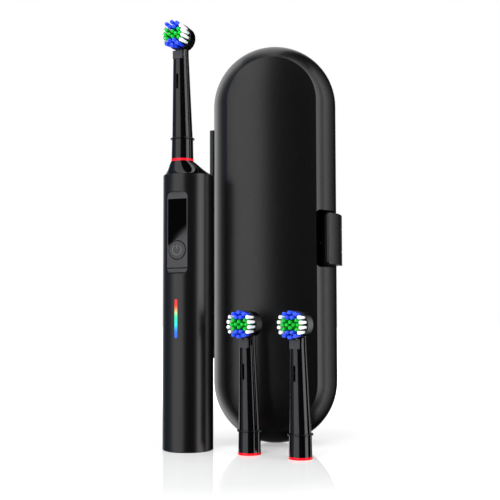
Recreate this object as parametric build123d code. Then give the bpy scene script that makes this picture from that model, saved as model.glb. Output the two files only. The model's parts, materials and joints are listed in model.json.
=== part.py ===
"""Rechargeable rotating-head toothbrush with its travel case and two spare brush heads.

Millimetres, +Z up. The origin is the centre of the handle's foot, at the mouth of its charging
well, and the handle's axis is +Z. The case stands behind the handle with its front facing -Y.
The handle and the heads are each modelled in a frame of their own, front facing -Y, and are
then turned and set in their places.
"""

from build123d import *
import math
import os

# ---------------------------------------------------------------- driving dimensions
# Where the free-standing pieces stand.
HANDLE_TURN = -18.0  # the handle's front, about +Z from -Y
SPARE_TURN = -25.0
SPARE_PLACES = ((37.0, -13.8), (65.9, -26.4))
CASE_PLACE = (47.3, 32.3)

# Handle.
BODY_R = 14.5
BODY_WALL = 1.6
BODY_TOP = 156.5
SHOULDER_TOP = 164.0
NECK_OFFSET = 7.2  # the brush axis stands this far in front of the handle's axis
LAND_R = 6.6  # flat land on the shoulder that a brush head stands on
NOSE_R = 4.6
NOSE_LENGTH = 5.5
FIT = 0.05  # radial clearance of a located fit
GAP = 0.3  # clearance between pieces that move past each other

# Control panel, flat, let into the front of the shell.
PANEL_W = 13.0
PANEL_Z = (99.8, 146.3)
PANEL_CORNER = 3.2
PANEL_STEP = 1.4  # how far the flat face stands behind the body's round front
PANEL_THICK = 2.2
WINDOW_W = 11.8
WINDOW_Z = (119.8, 142.2)
WINDOW_THICK = 1.0
BUTTON_Z = 113.1
BUTTON_R = 5.1
BUTTON_PROUD = 0.45
BUTTON_TRAVEL = 0.4
GROOVE_Z = 102.9

# Light bar.
LIGHT_W = 1.8
LIGHT_Z = (63.6, 85.4)

# Foot and charging well.
WELL_R = 3.7
WELL_DEPTH = 12.0
FOOT_PLUG = 8.0
SEAL_R = 0.68

# Inside the handle.
BOARD_FACE = 9.2
BOARD_THICK = 1.0
BOARD_Z = (58.0, 143.0)
CELL_R = 7.05
CELL_LENGTH = 50.0
CELL_Y = 2.0
TAB_STRIP = 0.25
LOW_DECK_Z = 16.0
DECK_THICK = 2.0
TOP_DECK_Z = 144.0
MOTOR_R = 7.4
MOTOR_Z = (111.0, 143.0)
MOTOR_WALL = 0.8
ROTOR_R = 3.4
SPINDLE_R = 1.0

# Sector gear drive.
GEAR_MODULE = 0.5
PINION_TEETH = 14
SECTOR_TEETH = 28
SECTOR_HALF = 4  # teeth on each side of the middle one
ADDENDUM = 0.8
DEDENDUM = 1.05
BACKLASH = 0.08
GEAR_Z = (148.5, 152.0)

# Drive shaft.
SHAFT_R = 2.0
JOURNAL_R = 1.5
SHAFT_TOP = SHOULDER_TOP + 21.0
FLAT_DEPTH = 0.55
FLAT_START = SHOULDER_TOP + 8.0

# Brush head, from the flat end that stands on the shoulder.
RING_H = 1.3
RING_R = 6.4
SLEEVE_R = 6.3
COLLAR_Z = 12.5
COLLAR_R = 7.0
COLLAR_H = 1.0
NECK_TOP_Z = 60.0
NECK_TOP_R = 4.5
NECK_LEAN = 2.0  # how far the neck's top stands in front of its foot
DISC_Z = 71.4
DISC_R = 7.6
DISC_Y = (-5.0, -2.0)
CUP_R = 7.3
CUP_Y = (-1.7, 3.6)
CUP_ROUND = 2.2
LINK_R = 1.2
LINK_BASE_Z = 8.0
SOCKET_R = 3.6
CRANK = 3.2  # the link's finger stands this far from the link's axis
CRANK_ARM = 4.0  # the finger meets the disc this far below the disc's axis
FINGER_R = 0.7
FINGER_PLAY = 0.35
DISC_SWING = 20.0  # each way; the link swings CRANK_ARM / CRANK times as far
PIN_R = 0.6
TUFT_R = 0.8
TUFT_HOLE = 1.6
TUFT_LENGTHS = {"white": 7.4, "green": 7.0, "blue": 7.8}
SLOT_Z = (41.0, 50.0)
SLOT_W = 1.3
TAB_W = 5.8
TAB_Z = (58.6, 63.2)

# Travel case.
CASE_R = 37.0
CASE_H = 239.0
CASE_WALL = 1.8
PANEL_EDGE = 10.7  # width of the rounded border, seen from the front
FRONT_EDGE_TILT = 37.0  # slope of the border where it meets the panel
FRONT_DOME_TILT = 17.0  # slope of the panel at the same line
REAR_EDGE_TILT = 20.0
REAR_DOME_TILT = 8.0
PART_GAP = 0.2
HINGE_R = 2.4
HINGE_PIN_R = 1.0
HINGE_INSET = 50.0
HINGE_Z = (HINGE_INSET, CASE_H - HINGE_INSET)
KNUCKLES = 5
LATCH_Z = (105.5, 136.0)
LATCH_AXIS = (38.6, 4.6)
LATCH_BARREL_R = 1.7
LATCH_PIN_R = 0.75
LATCH_BAND = (0.9, 2.9)  # inner and outer distance of the flap from the case's border
LATCH_SWEEP = 36.0
LATCH_HOOK = 2.2  # how far the hooked end reaches inwards
LUG_Z = (114.0, 127.5)
POCKET_X = 26.0
POCKET_Z = (104.0, 137.5)
TRAY_FACE = 11.7
TRAY_THICK = 1.3
TRAY_R = 26.2
END_RIB_INSET = 35.0
RIB_STEP = 42.5  # from the middle rib to its neighbours
RIB_Z = (END_RIB_INSET, CASE_H / 2 - RIB_STEP, CASE_H / 2, CASE_H / 2 + RIB_STEP, CASE_H - END_RIB_INSET)
RIB_THICK = 1.6
CRADLE_R = BODY_R + 0.4
CRADLE_X = -12.5
HEAD_CRADLE_R = RING_R + 0.3
HEAD_CRADLE = (15.5, 4.9)

FRONT = Plane(origin=(0, 0, 0), x_dir=(1, 0, 0), z_dir=(0, 1, 0))
BIG = 300.0


# ---------------------------------------------------------------- simple shapes
def cyl(radius, z0, z1, x=0.0, y=0.0):
    """A cylinder along Z between two heights."""
    return Pos(x, y, (z0 + z1) / 2) * Cylinder(radius, z1 - z0)


def cyl_y(radius, y0, y1, x=0.0, z=0.0):
    """A cylinder along Y between two depths."""
    return Pos(x, (y0 + y1) / 2, z) * Rot(90, 0, 0) * Cylinder(radius, y1 - y0)


def block(x0, x1, y0, y1, z0, z1):
    """A box between two corners."""
    return Pos((x0 + x1) / 2, (y0 + y1) / 2, (z0 + z1) / 2) * Box(x1 - x0, y1 - y0, z1 - z0)


def pad(width, z0, z1, corner, y0, y1, x=0.0):
    """A plate with rounded corners that faces -Y."""
    plane = FRONT.offset(y0)
    sketch = plane * (Pos(x, -(z0 + z1) / 2) * RectangleRounded(width, z1 - z0, corner))
    return extrude(sketch, y1 - y0)


def cone_between(r0, z0, y0, r1, z1, y1):
    """A round taper whose two ends may stand off each other's axis."""
    low = Plane.XY.offset(z0) * (Pos(0, y0) * Circle(r0))
    high = Plane.XY.offset(z1) * (Pos(0, y1) * Circle(r1))
    return loft([low, high])


# ---------------------------------------------------------------- gears
def involute_gear(teeth, middle_deg, half_count=None):
    """Face of an involute gear, or of a sector of one, with a tooth centred on middle_deg."""
    pitch = GEAR_MODULE * teeth / 2
    base = pitch * math.cos(math.radians(20))
    tip = pitch + ADDENDUM * GEAR_MODULE
    root = pitch - DEDENDUM * GEAR_MODULE
    step = 2 * math.pi / teeth
    half_tooth = (math.pi * GEAR_MODULE / 2 - BACKLASH / 2) / 2 / pitch

    def roll(radius):
        """Involute angle at a radius, from the base circle."""
        turn = math.acos(min(1.0, base / radius))
        return math.tan(turn) - turn

    def flank(radius):
        """Half the angle that a tooth spans at a radius."""
        return half_tooth + roll(pitch) - roll(max(radius, base))

    radii = [root] + [max(base, root) + (tip - max(base, root)) * i / 4 for i in range(5)]
    order = range(-half_count, half_count + 1) if half_count else range(teeth)
    points = []
    for k in order:
        middle = math.radians(middle_deg) + k * step
        angles = [(r, middle - flank(r)) for r in radii]
        angles += [(r, middle + flank(r)) for r in reversed(radii)]
        points += [(r * math.cos(a), r * math.sin(a)) for r, a in angles]
    if half_count:
        points.append((0.0, 0.0))
    return make_face(Polyline(*points, close=True))


CENTRES = GEAR_MODULE * (PINION_TEETH + SECTOR_TEETH) / 2
MOTOR_Y = CENTRES - NECK_OFFSET


# ---------------------------------------------------------------- handle
INNER_R = BODY_R - BODY_WALL


def handle_shell():
    """Round tube of the handle, open at both ends, with the panel and light openings."""
    tube = cyl(BODY_R, 0, BODY_TOP) - cyl(INNER_R, -1, BODY_TOP + 1)
    tube = chamfer(tube.edges().filter_by(GeomType.CIRCLE).sort_by(Axis.Z)[:2].sort_by(
        SortBy.RADIUS)[-1], 0.4)
    tube -= pad(PANEL_W, *PANEL_Z, PANEL_CORNER, -BODY_R - 1, 0)
    return tube - pad(LIGHT_W + 2 * FIT, LIGHT_Z[0] - FIT, LIGHT_Z[1] + FIT,
                      LIGHT_W / 2 - 0.01, -BODY_R - 1, 0)


SCREW_PLACES = ((-9.6, 2.0), (9.6, 2.0))
SCREW_R = 1.0
SKIRT_Z = 149.5
SKIRT_WALL = 1.2


def shoulder_cap():
    """Glossy shoulder: an oblique cone from the body to the brush, with a nose and a skirt."""
    outer = cone_between(BODY_R, BODY_TOP, 0, LAND_R, SHOULDER_TOP, -NECK_OFFSET)
    nose = cyl(NOSE_R, SHOULDER_TOP, SHOULDER_TOP + NOSE_LENGTH, 0, -NECK_OFFSET)
    skirt = cyl(INNER_R - FIT, SKIRT_Z, BODY_TOP)
    hollow = cyl(INNER_R - FIT - SKIRT_WALL, SKIRT_Z, BODY_TOP - 2)
    hollow += cone_between(INNER_R - FIT - SKIRT_WALL, BODY_TOP - 2, 0, 4.9, SHOULDER_TOP - 3.5, -NECK_OFFSET)
    bosses = [cyl(2.2, TOP_DECK_Z + DECK_THICK, BODY_TOP, x, y) for x, y in SCREW_PLACES]
    cap = outer + nose + skirt - hollow
    cap += [b & cyl(INNER_R - FIT, 0, BODY_TOP) for b in bosses]
    cap -= [cyl(SCREW_R + FIT, 0, BODY_TOP - 2.5, x, y) for x, y in SCREW_PLACES]
    bore = cyl(BUSH_R, SHOULDER_TOP - 5.0, SHOULDER_TOP + NOSE_LENGTH + 1, 0, -NECK_OFFSET)
    return cap - bore


BUSH_R = 3.5
BUSH_Z = (SHOULDER_TOP - 3.3, SHOULDER_TOP + 4.0)


def shaft_bush():
    """Sintered bush in the nose that the drive shaft turns in."""
    bush = cyl(BUSH_R - 0.02, *BUSH_Z, 0, -NECK_OFFSET)
    return bush - cyl(SHAFT_R + FIT, 0, BIG, 0, -NECK_OFFSET)


def shaft_seal():
    """Rubber lip ring above the bush."""
    seal = cyl(BUSH_R - 0.02, BUSH_Z[1] + 0.1, SHOULDER_TOP + NOSE_LENGTH - 0.2, 0, -NECK_OFFSET)
    return seal - cyl(SHAFT_R + FIT, 0, BIG, 0, -NECK_OFFSET)


def foot_cap():
    """Plug in the foot with the blind well for a charging post."""
    cap = cyl(INNER_R - FIT, 0, FOOT_PLUG) - cyl(INNER_R - 1.8, 2.0, FOOT_PLUG + 1)
    groove_z = FOOT_PLUG - 3.0
    tube = cyl(WELL_R + 1.6, 0, WELL_DEPTH + 1.4)
    wall = cyl(INNER_R - FIT, groove_z - 2, groove_z + 2) - cyl(INNER_R - 3.4, 0, BIG)
    cap += wall
    groove = cyl(INNER_R + 1, groove_z - 0.8, groove_z + 0.8)
    cap -= groove - cyl(INNER_R - FIT - 2 * SEAL_R - 0.1, 0, BIG)
    return cap + tube - cyl(WELL_R, -1, WELL_DEPTH)


def foot_seal():
    """O-ring that seals the foot."""
    return Pos(0, 0, FOOT_PLUG - 3.0) * Torus(INNER_R - FIT - SEAL_R - 0.02, SEAL_R)


def charging_coil():
    """Copper pick-up coil round the well."""
    return cyl(WELL_R + 5.2, 8.4, 13.2) - cyl(WELL_R + 1.6 + 0.15, 0, BIG)


CHASSIS_R = INNER_R - 0.2
CELL_Z = LOW_DECK_Z + DECK_THICK + TAB_STRIP
CELL_TOP = CELL_Z + CELL_LENGTH
DECKS = (LOW_DECK_Z, CELL_TOP + TAB_STRIP, MOTOR_Z[0] - 0.6 - DECK_THICK, TOP_DECK_Z)


def chassis():
    """Moulded frame that carries the cell, the motor and the board."""
    spine = cyl(CHASSIS_R, DECKS[0], TOP_DECK_Z + DECK_THICK) - cyl(CHASSIS_R - 1.3, 0, BIG)
    frame = spine - block(-BIG, BIG, -BIG, 5.5, 0, BIG)
    frame += [cyl(CHASSIS_R, z, z + DECK_THICK) for z in DECKS]
    frame -= block(-6.9, 6.9, -BIG, -10.4, 0, BIG)
    frame -= block(-7.5, 7.5, -BIG, -BOARD_FACE + BOARD_THICK + 0.1, 0, BOARD_Z[1] + 0.2)
    frame -= cyl(3.0, TOP_DECK_Z - 1, BIG, 0, MOTOR_Y)
    frame -= cyl(JOURNAL_R + FIT, TOP_DECK_Z + 0.4, BIG, 0, -NECK_OFFSET)
    frame -= [cyl(SCREW_R + 0.2, 140, BIG, x, y) for x, y in SCREW_PLACES]
    notch = cyl(MOTOR_R + 0.15, *MOTOR_Z, 0, MOTOR_Y)
    return frame - notch - cyl(CELL_R + 0.15, CELL_Z, CELL_TOP, 0, CELL_Y)


def chassis_screws():
    """Two self-tapping screws from the top deck into the shoulder."""
    screws = []
    for x, y in SCREW_PLACES:
        screw = cyl(SCREW_R, TOP_DECK_Z - 0.2, BODY_TOP - 4, x, y)
        head = cyl(1.9, TOP_DECK_Z - 1.5, TOP_DECK_Z - 0.05, x, y)
        cross = block(x - 1.2, x + 1.2, y - 0.25, y + 0.25, 0, TOP_DECK_Z - 1.0)
        cross += block(x - 0.25, x + 0.25, y - 1.2, y + 1.2, 0, TOP_DECK_Z - 1.0)
        screws.append(screw + head - cross)
    return Compound(screws)


def battery_cell():
    """Rechargeable cell with its raised positive end."""
    body = cyl(CELL_R, CELL_Z, CELL_TOP - 1, 0, CELL_Y)
    return body + cyl(2.7, CELL_TOP - 1, CELL_TOP, 0, CELL_Y)


def battery_tabs():
    """Nickel strips at both ends of the cell."""
    heights = (CELL_Z - TAB_STRIP, CELL_TOP)
    strips = [block(-2.5, 2.5, CELL_Y - 6, CELL_Y + 6, z, z + TAB_STRIP) for z in heights]
    return Compound(strips)


def main_board():
    """Circuit board behind the panel."""
    return block(-7.3, 7.3, -BOARD_FACE, -BOARD_FACE + BOARD_THICK, *BOARD_Z)


LED_ZS = (67.0, 70.75, 74.5, 78.25, 82.0)


def board_parts():
    """Light emitters and chips on the board."""
    front = -BOARD_FACE
    back = front + BOARD_THICK
    parts = [block(-0.8, 0.8, front - 0.7, front, z - 0.8, z + 0.8) for z in LED_ZS]
    parts.append(block(-3, 3, back, back + 1.0, 90, 96))
    parts.append(block(-2, 2, back, back + 0.9, 80, 84))
    parts.append(block(3, 5.5, back, back + 0.8, 100, 104))
    return Compound(parts)


def tact_switch():
    """Switch under the power button."""
    body = block(-2.3, 2.3, -BOARD_FACE - 0.9, -BOARD_FACE, BUTTON_Z - 2.3, BUTTON_Z + 2.3)
    return body + cyl_y(1.0, -BOARD_FACE - 1.25, -BOARD_FACE - 0.9, 0, BUTTON_Z)


PANEL_FACE = BODY_R - PANEL_STEP
FLANGE_BACK = PANEL_FACE - PANEL_THICK


def control_panel():
    """Flat inlay with the window's seat, the button's hole and a groove near its foot."""
    plate = pad(PANEL_W - 2 * FIT, PANEL_Z[0] + FIT, PANEL_Z[1] - FIT, PANEL_CORNER - FIT,
                -PANEL_FACE, -FLANGE_BACK)
    seat = pad(WINDOW_W + 2 * FIT, WINDOW_Z[0] - FIT, WINDOW_Z[1] + FIT, 0.8, -PANEL_FACE - 1,
               -PANEL_FACE + WINDOW_THICK)
    sight = pad(WINDOW_W - 2.4, WINDOW_Z[0] + 1.2, WINDOW_Z[1] - 1.2, 0.6, -BIG, 0)
    plate = plate - seat - sight
    plate -= cyl_y(BUTTON_R + 0.15, -BIG, 0, 0, BUTTON_Z)
    plate -= cyl_y(BUTTON_R + 0.95, -FLANGE_BACK - 0.75, 0, 0, BUTTON_Z)
    return plate - block(-BIG, BIG, -BIG, -PANEL_FACE + 0.35, GROOVE_Z - 0.2, GROOVE_Z + 0.2)


def display_window():
    """Black window over the display."""
    return pad(WINDOW_W, *WINDOW_Z, 0.75, -PANEL_FACE, -PANEL_FACE + WINDOW_THICK - FIT)


def display_module():
    """Display behind the window."""
    return pad(WINDOW_W - 1.0, WINDOW_Z[0] + 1.4, WINDOW_Z[1] - 1.4, 0.4, -FLANGE_BACK + 0.1,
               -BOARD_FACE)


def power_button():
    """Round button with a flange behind the panel and a boss over the switch."""
    face = cyl_y(BUTTON_R, -PANEL_FACE - BUTTON_PROUD, -FLANGE_BACK, 0, BUTTON_Z)
    face = fillet(face.edges().sort_by(Axis.Y)[0], 0.35)
    flange = cyl_y(BUTTON_R + 0.7, -FLANGE_BACK - 0.65, -FLANGE_BACK - 0.05, 0, BUTTON_Z)
    return face + flange


def light_bar():
    """Clear bar that carries the light to the surface, with a foot inside the shell."""
    bar = pad(LIGHT_W, *LIGHT_Z, LIGHT_W / 2 - 0.01, -BODY_R - 1, -BOARD_FACE - 1.0)
    bar = bar & cyl(BODY_R, 0, BODY_TOP)
    foot = pad(4.0, LIGHT_Z[0] - 1, LIGHT_Z[1] + 1, 0.8, -INNER_R + 0.5, -INNER_R + 1.5)
    return bar + foot


def motor_can():
    """Steel can with a hole at each end for the bearings."""
    can = cyl(MOTOR_R, *MOTOR_Z, 0, MOTOR_Y)
    can -= cyl(MOTOR_R - MOTOR_WALL, MOTOR_Z[0] + 1, MOTOR_Z[1] - 1, 0, MOTOR_Y)
    return can - cyl(2.5, 0, BIG, 0, MOTOR_Y)


def motor_bearings():
    """Ball-bearing rings at both ends of the can, as plain rings."""
    rings = []
    for low in (MOTOR_Z[0] - 0.5, MOTOR_Z[1] - 1.5):
        ring = cyl(2.5 - 0.02, low, low + 2, 0, MOTOR_Y)
        rings.append(ring - cyl(SPINDLE_R + FIT, 0, BIG, 0, MOTOR_Y))
    return Compound(rings)


def motor_coil():
    """Wound stator inside the can."""
    coil = cyl(MOTOR_R - MOTOR_WALL - 0.05, MOTOR_Z[0] + 3, MOTOR_Z[1] - 3, 0, MOTOR_Y)
    return coil - cyl(ROTOR_R + GAP, 0, BIG, 0, MOTOR_Y)


def motor_rotor():
    """Magnet rotor on its spindle."""
    magnet = cyl(ROTOR_R, MOTOR_Z[0] + 4, MOTOR_Z[1] - 4, 0, MOTOR_Y)
    return magnet + cyl(SPINDLE_R, MOTOR_Z[0] - 0.4, GEAR_Z[1] + 0.5, 0, MOTOR_Y)


def motor_pinion():
    """Brass pinion pressed on the spindle."""
    tooth_gap = -90 + 180 / PINION_TEETH
    face = Pos(0, MOTOR_Y) * involute_gear(PINION_TEETH, tooth_gap)
    pinion = extrude(Plane.XY.offset(GEAR_Z[0]) * face, GEAR_Z[1] - GEAR_Z[0])
    return pinion - cyl(SPINDLE_R + 0.01, 0, BIG, 0, MOTOR_Y)


def sector_gear():
    """Toothed sector on the drive shaft."""
    face = Pos(0, -NECK_OFFSET) * involute_gear(SECTOR_TEETH, 90, SECTOR_HALF)
    sector = extrude(Plane.XY.offset(GEAR_Z[0]) * face, GEAR_Z[1] - GEAR_Z[0])
    sector += cyl(3.2, GEAR_Z[0] - 1, GEAR_Z[1] + 1, 0, -NECK_OFFSET)
    return sector - cyl(JOURNAL_R + 0.01, 0, BIG, 0, -NECK_OFFSET)


def drive_shaft():
    """Stepped steel shaft with a flat at its upper end."""
    shaft = cyl(JOURNAL_R, TOP_DECK_Z + 0.5, GEAR_Z[1] + 1.2)
    shaft += cyl(SHAFT_R, GEAR_Z[1] + 1.2, SHAFT_TOP)
    top = shaft.edges().filter_by(GeomType.CIRCLE).sort_by(Axis.Z)[-1]
    shaft = chamfer(top, 0.3)
    shaft -= block(-BIG, BIG, SHAFT_R - FLAT_DEPTH, BIG, FLAT_START, BIG)
    return Pos(0, -NECK_OFFSET, 0) * shaft


HANDLE_PARTS = {
    "handle_shell": handle_shell, "shoulder_cap": shoulder_cap, "shaft_bush": shaft_bush,
    "shaft_seal": shaft_seal, "foot_cap": foot_cap, "foot_seal": foot_seal,
    "charging_coil": charging_coil, "chassis": chassis, "chassis_screws": chassis_screws,
    "battery_cell": battery_cell, "battery_tabs": battery_tabs, "main_board": main_board,
    "board_parts": board_parts, "tact_switch": tact_switch, "control_panel": control_panel,
    "display_window": display_window, "display_module": display_module,
    "power_button": power_button, "light_bar": light_bar, "motor_can": motor_can,
    "motor_bearings": motor_bearings, "motor_coil": motor_coil, "motor_rotor": motor_rotor,
    "motor_pinion": motor_pinion, "sector_gear": sector_gear, "drive_shaft": drive_shaft,
}


# ---------------------------------------------------------------- brush head
def head_neck():
    """Hollow neck: a sleeve, a collar, a leaning taper and the cup behind the disc."""
    sleeve = cone_between(SLEEVE_R, RING_H, 0, SLEEVE_R - 0.2, COLLAR_Z, 0)
    collar = cyl(COLLAR_R, COLLAR_Z, COLLAR_Z + COLLAR_H)
    collar = fillet(collar.edges().filter_by(GeomType.CIRCLE), COLLAR_H * 0.45)
    taper = cone_between(SLEEVE_R - 0.4, COLLAR_Z + COLLAR_H - 0.2, 0,
                         NECK_TOP_R, NECK_TOP_Z, -NECK_LEAN)
    upper = cone_between(NECK_TOP_R, NECK_TOP_Z, -NECK_LEAN, 3.6, DISC_Z - 4, -0.6)
    cup = cyl_y(CUP_R, *CUP_Y, 0, DISC_Z)
    cup = fillet(cup.edges().filter_by(GeomType.CIRCLE).sort_by(Axis.Y)[-1], CUP_ROUND)
    neck = sleeve + collar + taper + upper + cup
    neck -= cyl_y(DISC_R + GAP, -BIG, CUP_Y[0], 0, DISC_Z)
    neck -= cyl(NOSE_R + 0.2, -1, NOSE_LENGTH + 0.5)
    neck -= cyl(SOCKET_R + GAP, NOSE_LENGTH, SHAFT_TOP - SHOULDER_TOP + 3.5)
    neck -= cyl(LINK_R + GAP, 20, TAB_Z[1] + 0.3)
    neck -= block(-2.7, 2.7, -4.4, LINK_R + GAP, TAB_Z[1] - 1.5, TAB_Z[1] + 1.5)
    neck -= cyl_y(PIN_R + 0.02, -BIG, CUP_Y[1] - 1.0, 0, DISC_Z)
    neck -= pad(SLOT_W, *SLOT_Z, SLOT_W / 2 - 0.01, -BIG, 0)
    return neck - block(-TAB_W / 2 - FIT, TAB_W / 2 + FIT, -BIG, TAB_SEAT, TAB_Z[0] - FIT, DISC_Z)


TAB_SEAT = -NECK_LEAN - NECK_TOP_R + 1.1


def head_ring():
    """Coloured ring at the head's foot."""
    return cyl(RING_R, 0, RING_H) - cyl(NOSE_R + 0.2, -1, BIG)


def head_tab():
    """Small snap-in tab on the front of the neck, below the disc."""
    return block(-TAB_W / 2, TAB_W / 2, TAB_SEAT - 1.2, TAB_SEAT, *TAB_Z)


def head_link():
    """Socket for the drive shaft, with the rod and the finger that turns the disc."""
    socket = cyl(SOCKET_R, LINK_BASE_Z, SHAFT_TOP - SHOULDER_TOP + 2.5)
    flat = SHAFT_R - FLAT_DEPTH + 0.06
    hole = cyl(SHAFT_R + 0.06, 0, SHAFT_TOP - SHOULDER_TOP + 0.5)
    socket -= hole - block(-BIG, BIG, flat, BIG, FLAT_START - SHOULDER_TOP + 0.5, BIG)
    rod = cyl(LINK_R, SHAFT_TOP - SHOULDER_TOP + 2.4, TAB_Z[1])
    arm = block(-FINGER_R, FINGER_R, -CRANK, 0, TAB_Z[1] - 1.2, TAB_Z[1])
    finger = cyl(FINGER_R, TAB_Z[1] - 1.2, DISC_Z - CRANK_ARM + 0.4, 0, -CRANK)
    return socket + rod + arm + finger


def tuft_places():
    """Root places of the tufts on the disc, across and up, by colour."""
    green = [(sx * 3.6, sy * 2.2) for sx in (-1, 1) for sy in (-1, 1)]
    green += [(0, -1.45), (0, 1.45), (-4.4, 0), (-1.95, 0), (1.95, 0), (4.4, 0)]
    white = [(sx * x, sy * y) for x, y in ((5.3, 3.8), (6.2, 1.3)) for sx in (-1, 1) for sy in (-1, 1)]
    blue = [(sx * x, sy * y) for x, y in ((3.1, 5.4), (1.4, 3.7)) for sx in (-1, 1) for sy in (-1, 1)]
    blue += [(0, 6.2), (0, -6.2)]
    return {"white": white, "green": green, "blue": blue}


def finger_slot():
    """Slot behind the disc for the link's finger, flared towards the rim for the disc's swing."""
    half = FINGER_R + FINGER_PLAY
    reach = DISC_R + 1.0
    flare = half + (reach - CRANK_ARM) * math.tan(math.radians(DISC_SWING)) + FINGER_PLAY
    side = [(half, CRANK_ARM - 1.4), (half, CRANK_ARM - 0.4), (flare, reach)]
    outline = side + [(-x, z) for x, z in reversed(side)]
    front = -CRANK - FINGER_R - 0.3
    sketch = FRONT.offset(front) * make_face(Polyline(*outline, close=True))
    return Pos(0, 0, DISC_Z) * extrude(sketch, -front)


def head_disc():
    """Bristle carrier with tuft holes, a pivot hole and a slot behind for the finger."""
    disc = cyl_y(DISC_R, *DISC_Y, 0, DISC_Z)
    disc = fillet(disc.edges().filter_by(GeomType.CIRCLE).sort_by(Axis.Y)[0], 0.5)
    disc -= cyl_y(PIN_R + FIT, DISC_Y[1] - 2.0, 0, 0, DISC_Z)
    disc -= finger_slot()
    holes = []
    for places in tuft_places().values():
        holes += [cyl_y(TUFT_R + 0.02, -BIG, DISC_Y[0] + TUFT_HOLE - TUFT_LIFT, x, DISC_Z + z)
                  for x, z in places]
    return disc - holes


TUFT_LIFT = 0.9  # the holes stop short of the slot behind them


def head_pin():
    """Steel pin that the disc turns on."""
    return cyl_y(PIN_R, DISC_Y[1] - 1.8, CUP_Y[1] - 1.1, 0, DISC_Z)


def head_tufts(colour):
    """The bristle tufts of one colour, as plain rods."""
    root = DISC_Y[0] + TUFT_HOLE - TUFT_LIFT
    tip = DISC_Y[0] - TUFT_LENGTHS[colour]
    return Compound([cyl_y(TUFT_R, tip, root, x, DISC_Z + z) for x, z in tuft_places()[colour]])


HEAD_PARTS = {
    "neck": head_neck, "ring": head_ring, "tab": head_tab, "link": head_link,
    "disc": head_disc, "pin": head_pin,
    "white_tufts": lambda: head_tufts("white"), "green_tufts": lambda: head_tufts("green"),
    "blue_tufts": lambda: head_tufts("blue"),
}


# ---------------------------------------------------------------- travel case
def border_radius(edge_tilt):
    """Radius of the border's arc that gives the stated width and slope."""
    return PANEL_EDGE / (1 - math.sin(math.radians(edge_tilt)))


def half_profile(edge_tilt, dome_tilt, inset, side):
    """Half of a case shell's section, outline and depth, at x >= 0. side is -1 front, 1 rear."""
    border = border_radius(edge_tilt)
    cx = CASE_R - border
    edge_x = CASE_R - PANEL_EDGE
    edge_y = border * math.cos(math.radians(edge_tilt))
    dome = edge_x / math.sin(math.radians(dome_tilt))
    cy = edge_y - dome * math.cos(math.radians(dome_tilt))
    border -= inset
    dome -= inset
    gap = math.hypot(cx, cy)  # between the centres of the two arcs
    along = (border**2 - dome**2 + gap**2) / (2 * gap)
    off = math.sqrt(border**2 - along**2)
    ux, uy = -cx / gap, cy / gap
    corner = (cx + ux * along - uy * off, uy * along + ux * off)
    if corner[0] < 0 or corner[1] < 0:
        corner = (cx + ux * along + uy * off, uy * along - ux * off)

    def on(radius, ax, ay, angle):
        """A point of an arc, at an angle from +X."""
        return (ax + radius * math.cos(angle), ay + radius * math.sin(angle))

    a_corner = math.atan2(corner[1], corner[0] - cx)
    mid_border = on(border, cx, 0, a_corner / 2)
    b_corner = math.atan2(corner[1] - cy, corner[0])
    mid_dome = on(dome, 0, cy, (b_corner + math.pi / 2) / 2)
    top = (0, cy + dome)
    side_point = (cx + border, 0)
    points = [(x, side * y) for x, y in ((0, 0), side_point, mid_border, corner, mid_dome, top)]
    centre, a, b, c, d, e = points
    wire = [Line(centre, a), ThreePointArc(a, b, c), ThreePointArc(c, d, e), Line(e, centre)]
    return make_face(Wire(wire))


def dome_depth(edge_tilt, dome_tilt):
    """Depth of a shell at its middle."""
    edge_y = border_radius(edge_tilt) * math.cos(math.radians(edge_tilt))
    half = math.radians(dome_tilt) / 2
    return edge_y + (CASE_R - PANEL_EDGE) * math.tan(half)


def case_form(edge_tilt, dome_tilt, inset, side):
    """Solid of the case's form on one side of the parting plane."""
    face = half_profile(edge_tilt, dome_tilt, inset, side)
    low, high = CASE_R, CASE_H - CASE_R
    middle = extrude(Plane.XY.offset(low) * face, high - low)
    middle += mirror(middle, Plane.YZ)
    ends = []
    for z, turn in ((low, 180), (high, -180)):
        ends.append(revolve(Plane.XY.offset(z) * face, Axis((0, 0, z), (0, 1, 0)), turn))
    return middle + ends


FRONT_SHAPE = (FRONT_EDGE_TILT, FRONT_DOME_TILT)
REAR_SHAPE = (REAR_EDGE_TILT, REAR_DOME_TILT)
HINGE_X = -CASE_R - 0.6
FRONT_BORDER = border_radius(FRONT_EDGE_TILT)


def knuckle_spans(kind):
    """Heights of the front shell's knuckles (0) or of the rear shell's (1)."""
    pitch = (HINGE_Z[1] - HINGE_Z[0]) / KNUCKLES
    return [(HINGE_Z[0] + i * pitch + GAP / 2, HINGE_Z[0] + (i + 1) * pitch - GAP / 2)
            for i in range(KNUCKLES) if i % 2 == kind]


def hinge_side(kind, side):
    """Knuckles of one shell, each with a web into the shell's edge."""
    solid = []
    for low, high in knuckle_spans(kind):
        web = block(HINGE_X, HINGE_X + 2.6, min(0, side * HINGE_R), max(0, side * HINGE_R), low, high)
        solid.append(cyl(HINGE_R, low, high, HINGE_X, 0) + web)
    return solid


def hinge_room(kind):
    """Space that the other shell's knuckles need."""
    return [cyl(HINGE_R + GAP, low - GAP, high + GAP, HINGE_X, 0)
            for low, high in knuckle_spans(kind)]


def pocket(grow):
    """Finger pocket for the latch, or with grow the block that its walls are left from."""
    width = 2 * (BIG - POCKET_X + grow)
    return pad(width, POCKET_Z[0] - grow, POCKET_Z[1] + grow, 2.4, -BIG, 0.0, BIG)


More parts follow.
